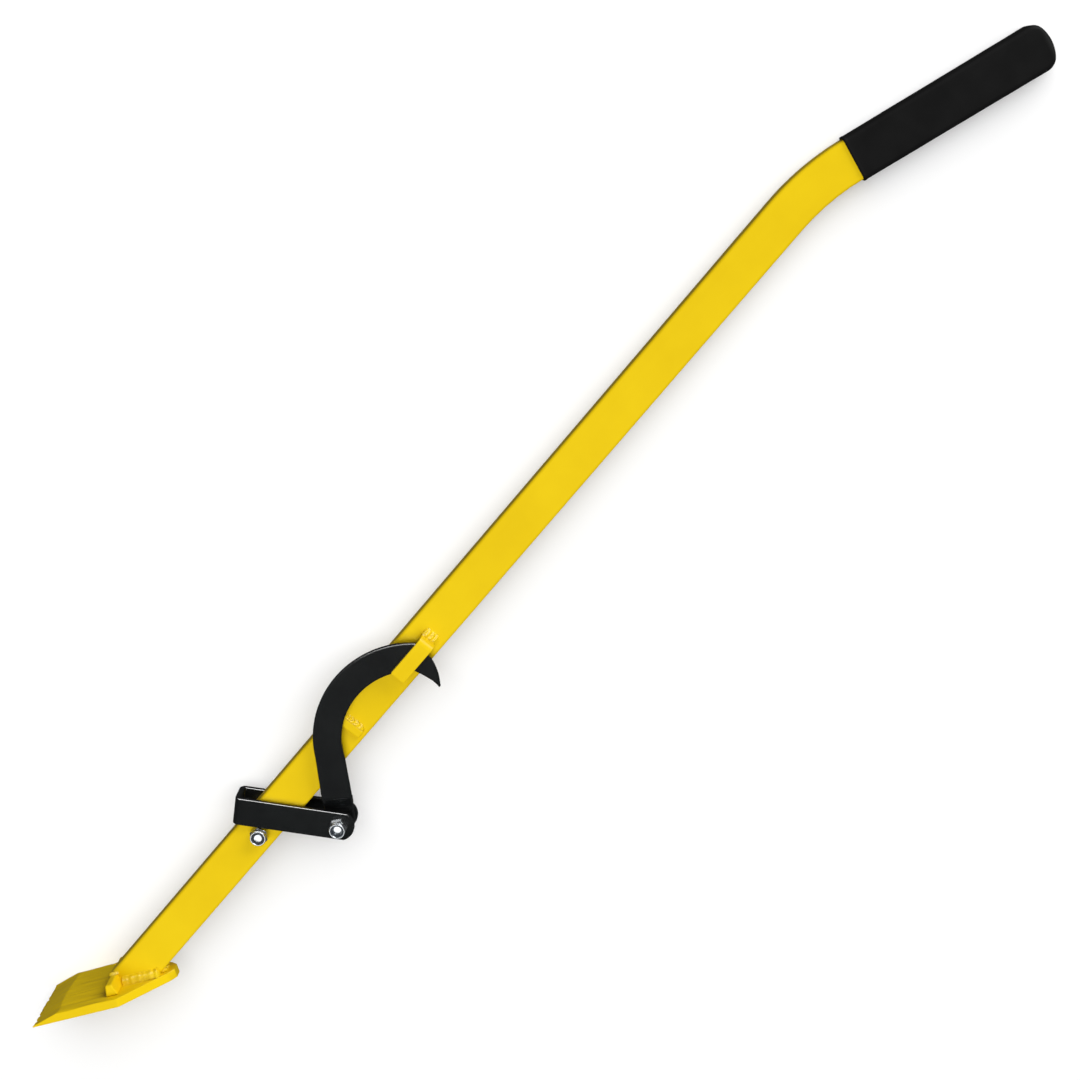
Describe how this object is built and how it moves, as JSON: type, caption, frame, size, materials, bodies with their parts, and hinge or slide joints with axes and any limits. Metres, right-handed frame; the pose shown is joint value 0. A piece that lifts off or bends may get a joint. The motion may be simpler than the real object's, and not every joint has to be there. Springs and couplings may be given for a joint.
{
  "type": "felling lever",
  "caption": "Long cranked steel lever with a bevelled wedge foot, a sleeve grip and a swinging log hook on a loop, for tipping trees and rolling logs.",
  "frame": {"origin": "where the straight tube's middle line meets the sole of the foot plate", "axes": "+X along the straight tube towards the grip; +Z square to the tube's wide face, on the side of the hook and nuts; +Y towards the side that the blade's cutting edge points to; the lever lies on its side"},
  "size_m": [1.3846, 0.1441, 0.08],
  "materials": {
    "yellow_paint": "satin powder coat",
    "black_paint": "gloss",
    "zinc": "bright zinc plate",
    "nylon": "moulded nylon",
    "grip": "soft matte vinyl"
  },
  "bodies": {
    "lever": {"lever_tube": "yellow_paint", "grip_sleeve": "grip", "foot_plate": "yellow_paint", "stop_rib": "yellow_paint", "front_foot_weld": "yellow_paint", "back_foot_weld": "yellow_paint", "heel_weld": "yellow_paint", "rib_weld": "yellow_paint", "keeper_strap": "yellow_paint", "keeper_weld": "yellow_paint", "cross_stop": "yellow_paint", "cross_stop_weld": "yellow_paint", "stop_bolt": "zinc", "stop_nut": "zinc", "stop_nut_ring": "nylon"},
    "loop": {"loop_strap": "black_paint", "pivot_bolt": "zinc", "pivot_nut": "zinc", "pivot_nut_ring": "nylon"},
    "hook": {"log_hook": "black_paint"}
  },
  "joints": [
    {"name": "loop_tilt", "type": "hinge", "parent": "lever", "child": "loop", "pos_m": [0.2444, -0.0033, 0], "axis": [0, 0, 1], "range_deg": [-30, 0]},
    {"name": "hook_swing", "type": "hinge", "parent": "loop", "child": "hook", "pos_m": [0.306, -0.0588, 0], "axis": [0, 0, 1], "range_deg": [-215, 0]}
  ]
}
